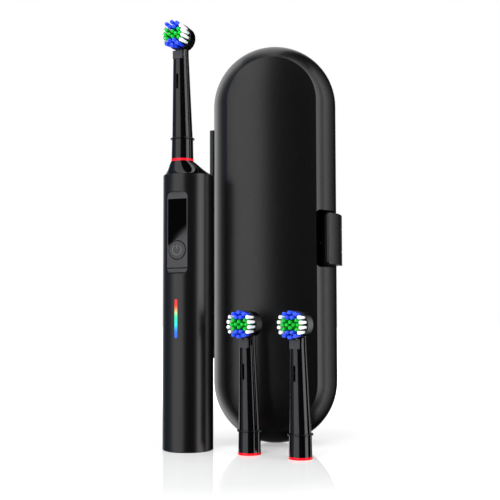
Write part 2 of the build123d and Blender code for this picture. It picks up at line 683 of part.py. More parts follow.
def case_front():
    """Front shell, with its hinge knuckles and the walled pocket under the latch."""
    outer = case_form(*FRONT_SHAPE, 0, -1)
    inner = case_form(*FRONT_SHAPE, CASE_WALL, -1)
    shell = outer - inner
    shell += inner & pocket(1.5)
    shell -= hinge_room(1)
    shell += hinge_side(0, -1)
    shell -= pocket(0)
    return shell - cyl(HINGE_PIN_R + FIT, HINGE_Z[0] - 1, HINGE_Z[1] + 1, HINGE_X, 0)


def case_rear():
    """Rear shell, with its knuckles, the pocket's floor and the lug that carries the latch."""
    outer = case_form(*REAR_SHAPE, 0, 1) - block(-BIG, BIG, -1, PART_GAP, 0, BIG)
    inner = case_form(*REAR_SHAPE, CASE_WALL, 1)
    lug = cyl(LATCH_BARREL_R, *LUG_Z, *LATCH_AXIS)
    web = block(CASE_R - 2.5, LATCH_AXIS[0], LATCH_AXIS[1] - 1.6, LATCH_AXIS[1] + 1.6, *LUG_Z)
    shell = outer + lug + web - inner
    low, high = POCKET_Z[0] - 1.5, POCKET_Z[1] + 1.5
    shell += outer & block(TRAY_R + 2.8, BIG, PART_GAP, PART_GAP + 1.5, low, high)
    shell -= hinge_room(0)
    shell += hinge_side(1, 1)
    shell -= cyl(HINGE_PIN_R + FIT, HINGE_Z[0] - 1, HINGE_Z[1] + 1, HINGE_X, 0)
    return shell - cyl(LATCH_PIN_R + FIT, 0, CASE_H, *LATCH_AXIS)


def hinge_pin():
    """Steel pin through all the knuckles."""
    return cyl(HINGE_PIN_R, HINGE_Z[0] + 0.5, HINGE_Z[1] - 0.5, HINGE_X, 0)


def case_latch():
    """Curved flap that wraps the edge of both shells, with a hooked free end."""
    cx = CASE_R - FRONT_BORDER
    inner, outer = FRONT_BORDER + LATCH_BAND[0], FRONT_BORDER + LATCH_BAND[1]
    band = cyl(outer, *LATCH_Z, cx, 0) - cyl(inner, *LATCH_Z, cx, 0)
    band &= block(cx, BIG, -BIG, 0, *LATCH_Z)
    cut = Rot(0, 0, -LATCH_SWEEP) * block(0, BIG, -BIG, 0, 0, BIG)
    band -= Pos(cx, 0, 0) * cut
    band += block(cx + inner, cx + outer, 0, LATCH_AXIS[1], *LATCH_Z)
    end = math.radians(LATCH_SWEEP)
    lip = Rot(0, 0, -LATCH_SWEEP) * block(inner - LATCH_HOOK, inner + 0.4, 0, 1.7, *LATCH_Z)
    band += Pos(cx, 0, 0) * lip
    band += cyl(LATCH_BARREL_R, *LATCH_Z, *LATCH_AXIS)
    band -= block(0, BIG, LATCH_AXIS[1] - LATCH_BARREL_R - GAP, BIG, LUG_Z[0] - GAP, LUG_Z[1] + GAP)
    return band - cyl(LATCH_PIN_R + FIT, 0, CASE_H, *LATCH_AXIS)


def latch_pin():
    """Steel pin of the latch."""
    return cyl(LATCH_PIN_R, LATCH_Z[0] + 0.3, LATCH_Z[1] - 0.3, *LATCH_AXIS)


def case_tray():
    """Tray in the rear shell: a floor and ribs cut to cradle the handle and the heads."""
    floor = pad(2 * TRAY_R, CASE_R - TRAY_R, CASE_H - CASE_R + TRAY_R, TRAY_R - 0.01,
                TRAY_FACE, TRAY_FACE + TRAY_THICK)
    rib_half = TRAY_R + 2.2
    ribs = [block(-rib_half, rib_half, 1.2, TRAY_FACE, z - RIB_THICK / 2, z + RIB_THICK / 2)
            for z in RIB_Z]
    tray = floor + ribs
    tray -= cyl(CRADLE_R, 0, CASE_H, CRADLE_X, TRAY_FACE - CRADLE_R)
    return tray - cyl(HEAD_CRADLE_R, 0, CASE_H, *HEAD_CRADLE)


CASE_PARTS = {
    "case_front": case_front, "case_rear": case_rear, "hinge_pin": hinge_pin,
    "case_latch": case_latch, "latch_pin": latch_pin, "case_tray": case_tray,
}


# ---------------------------------------------------------------- placing and writing
def placed_parts():
    """Every node of the set by name, in the common frame."""
    handle_at = Rot(0, 0, HANDLE_TURN)
    nodes = {name: handle_at * make() for name, make in HANDLE_PARTS.items()}
    head = {name: make() for name, make in HEAD_PARTS.items()}
    places = {"head": handle_at * Pos(0, -NECK_OFFSET, SHOULDER_TOP)}
    for label, (x, y) in zip("ab", SPARE_PLACES):
        places[f"spare_{label}"] = Pos(x, y, 0) * Rot(0, 0, SPARE_TURN)
    for label, place in places.items():
        nodes.update({f"{label}_{name}": place * shape for name, shape in head.items()})
    case_at = Pos(*CASE_PLACE, 0)
    nodes.update({name: case_at * make() for name, make in CASE_PARTS.items()})
    return nodes


def main():
    """Writes one STEP file for each node."""
    os.makedirs("parts", exist_ok=True)
    for name, shape in placed_parts().items():
        solids = shape.solids()
        export_step(Compound(list(solids)) if len(solids) > 1 else solids[0], f"parts/{name}.step")


main()
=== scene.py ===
"""Looks of a rechargeable toothbrush with its travel case and two spare brush heads.

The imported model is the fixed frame. Its nodes keep their places and get finishes, and pieces that
need finer work, such as the flared shoulder and the nylon tufts, are built here around it. Every
length in this file is in millimetres unless its name says otherwise, and ``MM`` turns it to metres.
"""

from __future__ import annotations

import enum
import json
import logging
import math
from dataclasses import dataclass, field

import bmesh
import bpy
from bmesh.types import BMEdge, BMesh, BMVert
from bpy.types import Material, Node, NodeTree, Object
from mathutils import Matrix, Vector

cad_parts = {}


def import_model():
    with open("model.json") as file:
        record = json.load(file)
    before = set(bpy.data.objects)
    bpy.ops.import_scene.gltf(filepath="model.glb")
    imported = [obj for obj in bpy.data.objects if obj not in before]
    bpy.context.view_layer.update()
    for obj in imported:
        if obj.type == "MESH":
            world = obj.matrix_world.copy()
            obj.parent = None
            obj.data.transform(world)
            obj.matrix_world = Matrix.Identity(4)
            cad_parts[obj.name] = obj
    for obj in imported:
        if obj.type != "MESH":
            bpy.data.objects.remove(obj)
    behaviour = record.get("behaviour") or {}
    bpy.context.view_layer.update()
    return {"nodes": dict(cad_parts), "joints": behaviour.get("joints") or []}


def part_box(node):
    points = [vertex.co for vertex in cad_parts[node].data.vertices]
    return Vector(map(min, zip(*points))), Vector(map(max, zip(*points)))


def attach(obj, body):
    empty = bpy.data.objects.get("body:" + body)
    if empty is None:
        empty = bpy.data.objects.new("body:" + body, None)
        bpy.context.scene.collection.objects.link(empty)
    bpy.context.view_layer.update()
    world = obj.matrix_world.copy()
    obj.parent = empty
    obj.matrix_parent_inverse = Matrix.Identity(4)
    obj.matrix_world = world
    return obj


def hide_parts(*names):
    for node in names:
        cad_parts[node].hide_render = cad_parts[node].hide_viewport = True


MM = 0.001
log = logging.getLogger("toothbrush_set")


# ---- small helpers
def linear(hex_code: str) -> tuple[float, float, float, float]:
    """Turns an sRGB colour into the linear one that a shader takes.

    Args:
        hex_code: The colour as six hexadecimal digits.

    Returns:
        Linear red, green, blue and an alpha of 1.
    """
    parts = [int(hex_code[i:i + 2], 16) / 255 for i in (0, 2, 4)]
    curve = [c / 12.92 if c <= 0.04045 else ((c + 0.055) / 1.055) ** 2.4 for c in parts]
    return (curve[0], curve[1], curve[2], 1.0)


def add_node(tree: NodeTree, kind: str, values: dict | None = None,
             links: dict | None = None, **settings: object) -> Node:
    """Adds a node with its settings, its socket values and its incoming links.

    Args:
        tree: The node tree that gets the node.
        kind: The node's type name, without the ShaderNode that starts it.
        values: Input sockets by name or number, with the value each is set to.
        links: Input sockets by name or number, with the output socket that feeds each.
        **settings: The node's own properties.

    Returns:
        The new node.
    """
    node = tree.nodes.new("ShaderNode" + kind)
    for name, value in settings.items():
        setattr(node, name, value)
    for socket, value in (values or {}).items():
        node.inputs[socket].default_value = value
    for socket, source in (links or {}).items():
        tree.links.new(source, node.inputs[socket])
    return node

def blank_material(name: str) -> Material:
    """Makes a material whose node tree is empty.

    Args:
        name: The material's name.

    Returns:
        The material.
    """
    made = bpy.data.materials.new(name)
    made.use_nodes = True
    made.node_tree.nodes.clear()
    return made


def scaled(hex_code: str, share: float) -> tuple[float, ...]:
    """Gives an sRGB colour's linear one, made brighter or darker by a share."""
    return tuple(c * share for c in linear(hex_code)[:3]) + (1.0,)


def set_stops(ramp: Node, stops: list[tuple[float, tuple[float, ...]]]) -> None:
    """Gives a Color Ramp node its stops.

    Args:
        ramp: The node.
        stops: Place from 0 to 1 and linear colour of each stop, in rising order.
    """
    band = ramp.color_ramp
    while len(band.elements) < len(stops):
        band.elements.new(1.0)
    for element, (place, colour) in zip(band.elements, stops):
        element.position = place
        element.color = colour


def finish_mesh(name: str, bm: BMesh, smooth_deg: float = 35.0) -> Object:
    """Turns a bmesh in millimetres into an object at the origin, in metres.

    Args:
        name: The piece's name.
        bm: The shape. It is freed.
        smooth_deg: Edges sharper than this stay sharp.

    Returns:
        The object, linked to the scene.
    """
    bmesh.ops.transform(bm, matrix=Matrix.Scale(MM, 4), verts=bm.verts)
    mesh = bpy.data.meshes.new(name)
    for face in bm.faces:
        face.smooth = True
    limit = math.radians(smooth_deg)
    for edge in bm.edges:
        edge.smooth = edge.is_manifold and edge.calc_face_angle(0.0) < limit
    bm.to_mesh(mesh)
    bm.free()
    piece = bpy.data.objects.new(name, mesh)
    bpy.context.scene.collection.objects.link(piece)
    return piece


def dress(piece: Object, material: Material) -> None:
    """Gives a piece its only material."""
    piece.data.materials.clear()
    piece.data.materials.append(material)


def fuse(bm: BMesh) -> None:
    """Merges doubled points of a closed shape and turns its faces outwards."""
    bmesh.ops.remove_doubles(bm, verts=bm.verts, dist=1e-5)
    bmesh.ops.recalc_face_normals(bm, faces=bm.faces)


def ring_loop(bm: BMesh, radius: float, place: Vector, steps: int) -> list:
    """Adds a level circle and returns its edges.

    Args:
        bm: The mesh.
        radius: The circle's radius.
        place: Its centre.
        steps: How many points it has.

    Returns:
        The circle's edges.
    """
    made = bmesh.ops.create_circle(bm, cap_ends=False, segments=steps, radius=radius,
                                   matrix=Matrix.Translation(place))
    return sorted({e for v in made["verts"] for e in v.link_edges}, key=lambda e: e.index)


def skin(bm: BMesh, rings: list[tuple[float, Vector]], steps: int) -> None:
    """Bridges a run of level circles into one skin.

    Args:
        bm: The mesh.
        rings: Radius and centre of each circle, in order.
        steps: How many points each circle has.
    """
    loops = [ring_loop(bm, radius, place, steps) for radius, place in rings]
    for low, high in zip(loops, loops[1:]):
        bmesh.ops.bridge_loops(bm, edges=low + high)


# ---- finishes
class BuiltFinish:
    """A finish whose material is built once, under the finish's own name."""

    name: str

    def surface(self, tree: NodeTree) -> tuple[dict, dict]:
        """Adds the finish's patterns to a tree, and returns its shader's values and links."""
        raise NotImplementedError

    def material(self) -> Material:
        """Builds the material, or finds the one built before.

        Returns:
            The finish's material.
        """
        known = bpy.data.materials.get(self.name)
        if known:
            return known
        made = blank_material(self.name)
        tree = made.node_tree
        shader = add_node(tree, "BsdfPrincipled", *self.surface(tree))
        add_node(tree, "OutputMaterial", None, {"Surface": shader.outputs[0]})
        return made


@dataclass(frozen=True)
class MouldedPlastic(BuiltFinish):
    """Injection-moulded plastic with a fine spark-eroded or polished skin.

    The skin's grain breaks up the edge of each reflection, and slow waves from shrinkage bend
    long reflections a little.
    """

    name: str
    colour: str
    roughness: float
    grain: float = 0.35
    grain_height: float = 0.004
    wave: float = 14.0
    wave_height: float = 0.01
    ior: float = 1.5
    unevenness: float = 0.1

    def surface(self, tree: NodeTree) -> tuple[dict, dict]:
        """Adds the plastic's grain and waves.

        Args:
            tree: The material's node tree.

        Returns:
            The shader's values and links.
        """
        less, more = 1 - self.unevenness, 1 + self.unevenness
        place = add_node(tree, "TexCoord").outputs["Object"]
        grain = add_node(tree, "TexNoise", {"Scale": 1 / (self.grain * MM), "Detail": 2.0},
                         {"Vector": place}).outputs["Fac"]
        wave = add_node(tree, "TexNoise", {"Scale": 1 / (self.wave * MM), "Detail": 1.0},
                        {"Vector": place}).outputs["Fac"]
        tint = add_node(tree, "Mix",
                        {6: scaled(self.colour, less), 7: scaled(self.colour, more)},
                        {"Factor": wave}, data_type="RGBA")
        sheen = add_node(tree, "MapRange",
                         {"To Min": self.roughness * less, "To Max": self.roughness * more},
                         {"Value": grain})
        low = add_node(tree, "Bump", {"Distance": self.wave_height * MM}, {"Height": wave})
        high = add_node(tree, "Bump", {"Distance": self.grain_height * MM},
                        {"Height": grain, "Normal": low.outputs["Normal"]})
        return ({"IOR": self.ior},
                {"Base Color": tint.outputs[2], "Roughness": sheen.outputs["Result"],
                "Normal": high.outputs["Normal"]})


@dataclass(frozen=True)
class TurnedMetal(BuiltFinish):
    """Metal with fine tool marks round its axis, which stretch each highlight."""

    name: str
    colour: str
    roughness: float
    mark: float = 0.25
    mark_depth: float = 0.003
    squeeze: float = 0.05
    unevenness: float = 0.25

    def surface(self, tree: NodeTree) -> tuple[dict, dict]:
        """Adds the metal's tool marks.

        Args:
            tree: The material's node tree.

        Returns:
            The shader's values and links.
        """
        less, more = 1 - self.unevenness, 1 + self.unevenness
        place = add_node(tree, "TexCoord").outputs["Object"]
        # Squeezed across the axis, the noise draws out into level marks.
        drawn = add_node(tree, "Mapping", {"Scale": (self.squeeze, self.squeeze, 1.0)},
                         {"Vector": place})
        marks = add_node(tree, "TexNoise", {"Scale": 1 / (self.mark * MM), "Detail": 2.0},
                         {"Vector": drawn.outputs["Vector"]}).outputs["Fac"]
        sheen = add_node(tree, "MapRange",
                         {"To Min": self.roughness * less, "To Max": self.roughness * more},
                         {"Value": marks})
        cut = add_node(tree, "Bump", {"Distance": self.mark_depth * MM}, {"Height": marks})
        return ({"Base Color": linear(self.colour), "Metallic": 1.0},
                {"Roughness": sheen.outputs["Result"], "Normal": cut.outputs["Normal"]})


@dataclass(frozen=True)
class NylonFilament(BuiltFinish):
    """Dyed nylon filament: smooth, a little translucent, painted shade at its roots, painted
    highlight on its rounded tips.
    """

    name: str
    colour: str
    root_shade_colour: str
    tip_highlight_colour: str
    glow: float = 0.2
    glow_depth: float = 0.5
    roughness: float = 0.32
    ior: float = 1.53
    even_part: tuple[float, float] = (0.55, 0.9)

    def surface(self, tree: NodeTree) -> tuple[dict, dict]:
        """Adds the run of colour along a filament.

        Args:
            tree: The material's node tree.

        Returns:
            Adds the run of colour along a filament: painted shade at the root, a painted highlight
                at the tip.
        """
        along = add_node(tree, "Attribute", attribute_name="tip_share")
        tint = add_node(tree, "ValToRGB", None, {"Fac": along.outputs["Fac"]})
        low, high = self.even_part
        # Painted shade at the root, the filament's own colour along the middle, a painted highlight
        # at the tip.
        set_stops(tint, [(0.0, linear(self.root_shade_colour)), (low, linear(self.colour)),
                         (high, linear(self.colour)), (1.0, linear(self.tip_highlight_colour))])
        return ({"Roughness": self.roughness, "IOR": self.ior,
                 "Subsurface Weight": self.glow, "Subsurface Scale": self.glow_depth * MM},
                {"Base Color": tint.outputs["Color"]})


@dataclass(frozen=True)
class LitGuide(BuiltFinish):
    """Clear polycarbonate bar, lit from behind in a run of colours from its top to its foot."""

    name: str
    low_z: float
    high_z: float
    strength: float = 1.0
    roughness: float = 0.3
    ior: float = 1.3
    unlit: str = "272727"
    glow_run: tuple = ((0.0, "0F6CFF"), (0.12, "0870FF"), (0.2, "0290FA"), (0.27, "00CCFF"),
                       (0.34, "00FBF6"), (0.48, "00FFC4"), (0.57, "56FCBA"), (0.64, "C0FCA4"),
                       (0.72, "F7B46D"), (0.8, "FB5231"), (0.87, "F80700"), (1.0, "FE0000"))

    def surface(self, tree: NodeTree) -> tuple[dict, dict]:
        """Adds the run of light along the bar.

        Args:
            tree: The material's node tree.

        Returns:
            The shader's values and links.
        """
        place = add_node(tree, "TexCoord").outputs["Object"]
        height = add_node(tree, "SeparateXYZ", None, {"Vector": place}).outputs["Z"]
        share = add_node(tree, "MapRange",
                         {"From Min": self.low_z * MM, "From Max": self.high_z * MM},
                         {"Value": height}).outputs["Result"]
        tint = add_node(tree, "ValToRGB", None, {"Fac": share})
        set_stops(tint, [(stop, linear(colour)) for stop, colour in self.glow_run])
        return ({"Roughness": self.roughness, "IOR": self.ior,
                 "Emission Strength": self.strength, "Base Color": linear(self.unlit)},
                {"Emission Color": tint.outputs["Color"]})


@dataclass(frozen=True)
class RibbedPlastic(BuiltFinish):
    """Acetal with fine level ribs, which read as thin lines across it: painted shade and painted
    highlight.
    """

    name: str
    colour: str
    roughness: float
    pitch: float = 0.55
    depth: float = 0.05
    ior: float = 1.3
    # Painted shade in the valleys and painted highlight on the crests, as shares of the colour.
    rib_shade_and_highlight: tuple[float, float] = (0.72, 1.2)

    def surface(self, tree: NodeTree) -> tuple[dict, dict]:
        """Adds the level ribs, with painted shade in their valleys and a painted highlight on their
        crests.

        Args:
            tree: The material's node tree.

        Returns:
            The shader's values and links.
        """
        place = add_node(tree, "TexCoord").outputs["Object"]
        # A band at scale 1 repeats every turn / 20 units, so this gives one rib for each pitch.
        ribs = add_node(tree, "TexWave",
                        {"Scale": math.tau / (20 * self.pitch * MM), "Distortion": 0.2},
                        {"Vector": place}, wave_type="BANDS", bands_direction="Z").outputs["Fac"]
        # Painted shade in the rib valleys and a painted highlight on their crests.
        valley, crest = self.rib_shade_and_highlight
        tint = add_node(tree, "Mix",
                        {6: scaled(self.colour, valley), 7: scaled(self.colour, crest)},
                        {"Factor": ribs}, data_type="RGBA")
        edge = add_node(tree, "Bump", {"Strength": 0.6, "Distance": self.depth * MM},
                        {"Height": ribs})
        return ({"Roughness": self.roughness, "IOR": self.ior},
                {"Base Color": tint.outputs[2], "Normal": edge.outputs["Normal"]})


@dataclass(frozen=True)
class PanelFilm(BuiltFinish):
    """Printed film over the control panel: satin grey, with a deep black display mask.

    The mask fills the top of the film. Its black is the display's print, and its slanting soft edge
    above the button is a painted reflection's edge. Fine dark lines of painted shade mark the gap
    round the button, the foot groove and the film's foot.
    """

    name: str
    turn: float = -18.0
    grey: str = "38383A"
    roughness: float = 0.4
    ior: float = 1.08
    half_width: float = 6.15
    mask_top: float = 142.2
    reflection_edge_middle: float = 119.8
    reflection_edge_slope: float = 0.72
    # The painted reflection's edge is crisp at the mask's low end and fades over some millimetres
    # at its high end.
    crisp: tuple[float, float] = (-0.7, 0.7)
    faded: tuple[float, float] = (-3.4, 4.4)
    fade_across: tuple[float, float] = (-5.0, 5.5)
    # Where the painted shade lines lie: in the foot groove, in the gap round the button and at the
    # film's foot.
    groove_z: float = 102.9
    groove_shade_half: float = 0.34
    button_z: float = 113.1
    gap_radius: float = 5.35
    gap_shade_half: float = 0.26
    foot_shade_z: float = 100.4

    def surface(self, tree: NodeTree) -> tuple[dict, dict]:
        """Adds the mask and the dark lines.

        Args:
            tree: The material's node tree.

        Returns:
            The shader's values and links.
        """
        place = add_node(tree, "TexCoord").outputs["Object"]
        turned = add_node(tree, "Mapping", {"Rotation": (0, 0, math.radians(-self.turn))},
                          {"Vector": place})
        axes = add_node(tree, "SeparateXYZ", None, {"Vector": turned.outputs[0]}).outputs
        across, height = axes["X"], axes["Z"]
        rise = add_node(tree, "Math", {1: -self.reflection_edge_slope}, {0: across, 2: height},
                        operation="MULTIPLY_ADD").outputs[0]
        flat = add_node(tree, "CombineXYZ", None, {"X": across, "Z": height}).outputs[0]
        reach = add_node(tree, "VectorMath", {1: (0, 0, self.button_z * MM)}, {0: flat},
                         operation="DISTANCE").outputs["Value"]
        off = []
        for value, middle in ((across, 0.0), (height, self.groove_z), (reach, self.gap_radius)):
            apart = add_node(tree, "Math", {1: middle * MM}, {0: value},
                             operation="SUBTRACT").outputs[0]
            off.append(add_node(tree, "Math", None, {0: apart},
                                operation="ABSOLUTE").outputs[0])
        width, from_groove, from_gap = off
        middle = self.reflection_edge_middle
        # Each step goes from 0 at its first height or distance to 1 at its second.
        steps = []
        for value, start, end in (
                (rise, middle + self.crisp[0], middle + self.crisp[1]),
                (rise, middle + self.faded[0], middle + self.faded[1]),
                (across, *self.fade_across),
                (width, self.half_width, self.half_width - 0.2),
                (height, self.mask_top + 0.1, self.mask_top - 0.1),
                (from_groove, self.groove_shade_half, self.groove_shade_half - 0.12),
                (from_gap, self.gap_shade_half, self.gap_shade_half - 0.14),
                (height, self.foot_shade_z + 0.2, self.foot_shade_z - 0.2)):
            steps.append(add_node(tree, "MapRange",
                                  {"From Min": start * MM, "From Max": end * MM}, {"Value": value},
                                  interpolation_type="SMOOTHSTEP").outputs["Result"])
        crisp, faded, side, within, below, *marks = steps
        # The display's black print, ending in the painted reflection's slanting soft edge.
        dark = add_node(tree, "Mix", None, {0: side, 2: crisp, 3: faded},
                        data_type="FLOAT").outputs[0]
        for part in (within, below):
            dark = add_node(tree, "Math", None, {0: dark, 1: part},
                            operation="MULTIPLY").outputs[0]
        # Painted shade: dark lines in the gap round the button, in the foot groove and at the
        # film's foot.
        for mark in marks:
            dark = add_node(tree, "Math", None, {0: dark, 1: mark},
                            operation="MAXIMUM").outputs[0]
        tint = add_node(tree, "Mix", {6: linear(self.grey), 7: linear("000000")},
                        {"Factor": dark}, data_type="RGBA")
        return ({"Roughness": self.roughness, "IOR": self.ior},
                {"Base Color": tint.outputs[2]})


class Finish(enum.Enum):
    """Every finish of the set, by what it is used on."""

    # Spark-eroded ABS: a soft, wide highlight.
    BODY = MouldedPlastic("handle_abs_matte", "060607", 0.29)
    # Polished ABS: narrow, clear reflections.
    SHOULDER = MouldedPlastic("shoulder_abs_gloss", "020203", 0.06, grain_height=0.0)
    # Screen-printed polyester film: flat, with almost no shine.
    PANEL = PanelFilm("panel_film_grey")
    # Fine-textured ABS: a dull grey that shows hardly any reflection.
    BUTTON = MouldedPlastic("button_abs_satin", "353537", 0.42, grain_height=0.003, ior=1.15)
    # The same ABS, polished on top, in a lighter grey than the button round it: a painted highlight
    # on the raised symbol.
    SYMBOL = MouldedPlastic("button_symbol", "4A4A4C", 0.3, ior=1.4)
    # Polished polypropylene, glossier than the handle.
    NECK = MouldedPlastic("neck_polypropylene", "030304", 0.09, grain_height=0.0)
    # Acetal as moulded, ribbed for grip: dull grey lines of painted shade and painted highlight.
    TAB = RibbedPlastic("tab_acetal_ribbed", "333436", 0.5)
    # Dyed polypropylene: one even, strong red.
    RING = MouldedPlastic("ring_polypropylene_red", "F0081C", 0.3, grain_height=0.002, ior=1.3)
    # Satin ABS: long soft reflections down both borders.
    CASE = MouldedPlastic("case_abs_satin", "060607", 0.28, grain_height=0.003)
    # Satin ABS, a shade lighter, so the flap reads apart from the shell.
    LATCH = MouldedPlastic("latch_abs_satin", "0A0A0B", 0.3, grain_height=0.003)
    # Coarse-textured polypropylene: dull charcoal.
    TRAY = MouldedPlastic("tray_polypropylene", "1A1A1C", 0.5, grain_height=0.01)
    # Undyed acetal: waxy off-white.
    FRAME = MouldedPlastic("frame_acetal_natural", "D8D8D2", 0.4)
    # Heat-shrunk PVC sleeve: smooth blue.
    CELL = MouldedPlastic("cell_shrink_sleeve", "2A5AA8", 0.25)
    # Solder mask on glass epoxy: deep green with a slight gloss.
    BOARD = MouldedPlastic("board_glass_epoxy", "0E4A2A", 0.35)
    # Moulded epoxy: dull black.
    CHIP = MouldedPlastic("chip_epoxy", "161616", 0.5)
    # Moulded silicone: dull and a little uneven.
    SEAL = MouldedPlastic("seal_silicone", "141414", 0.6, grain_height=0.01)
    # Turned stainless steel: bright, with level streaks.
    STEEL = TurnedMetal("steel_stainless_turned", "C4C4C8", 0.25)
    # Drawn, zinc-plated steel: greyer, with wide blurred streaks.
    CAN = TurnedMetal("steel_zinc_plated", "B4B6B8", 0.35, mark=0.6)
    # Turned brass: warm, with fine streaks.
    BRASS = TurnedMetal("brass_turned", "D8B060", 0.25)
    # Enamelled wire in close turns: copper with the lines of its turns.
    COPPER = TurnedMetal("copper_enamelled_wire", "C87038", 0.3, mark=0.35)
    # Extruded nylon, undyed or dyed right through: bright and a little translucent, with painted
    # shade at the roots and a painted highlight on the tips.
    WHITE_TUFT = NylonFilament("nylon_white", "F8FAFC", "D4D8DC", "FFFFFF")
    GREEN_TUFT = NylonFilament("nylon_green", "14B832", "066414", "26D84A")
    BLUE_TUFT = NylonFilament("nylon_blue", "1E4CF4", "0C20A8", "4C70FF")

    def material(self) -> Material:
        """Builds the finish's material, or returns the one built before."""
        return self.value.material()


NODE_FINISHES = {
    Finish.BODY: ("handle_shell", "foot_cap"),
    Finish.SHOULDER: ("shoulder_cap",),
    Finish.PANEL: ("control_panel", "display_window"),
    Finish.BUTTON: ("power_button",),
    Finish.CASE: ("case_front", "case_rear"),
    Finish.LATCH: ("case_latch",),
    Finish.TRAY: ("case_tray",),
    Finish.FRAME: ("chassis", "sector_gear"),
    Finish.CELL: ("battery_cell",),
    Finish.BOARD: ("main_board",),
    Finish.CHIP: ("board_parts", "tact_switch", "display_module"),
    Finish.SEAL: ("foot_seal", "shaft_seal"),
    Finish.STEEL: ("hinge_pin", "latch_pin", "motor_bearings", "motor_rotor", "drive_shaft"),
    Finish.CAN: ("chassis_screws", "battery_tabs", "motor_can"),
    Finish.BRASS: ("shaft_bush", "motor_pinion"),
    Finish.COPPER: ("charging_coil", "motor_coil"),
}
HEAD_FINISHES = {
    Finish.NECK: ("neck", "disc"),
    Finish.RING: ("ring",),
    Finish.TAB: ("tab",),
    Finish.FRAME: ("link",),
    Finish.STEEL: ("pin",),
}


# ---- places
@dataclass(frozen=True)
class Seat:
    """Where a turned sub-assembly stands: its foot's centre and its turn about +Z."""

    foot: Vector
    turn: float

    def matrix(self) -> Matrix:
        """Matrix from the sub-assembly's own frame to the common one, in millimetres."""
        return Matrix.Translation(self.foot) @ Matrix.Rotation(self.turn, 4, "Z")


def joint_named(frame: dict, name: str) -> dict:
    """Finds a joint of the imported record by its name."""
    return next(j for j in frame["joints"] if j["name"] == name)


def facing_turn(axis: list[float]) -> float:
    """Turn about +Z that brings -Y round to a level axis."""
    return math.atan2(axis[0], -axis[1])


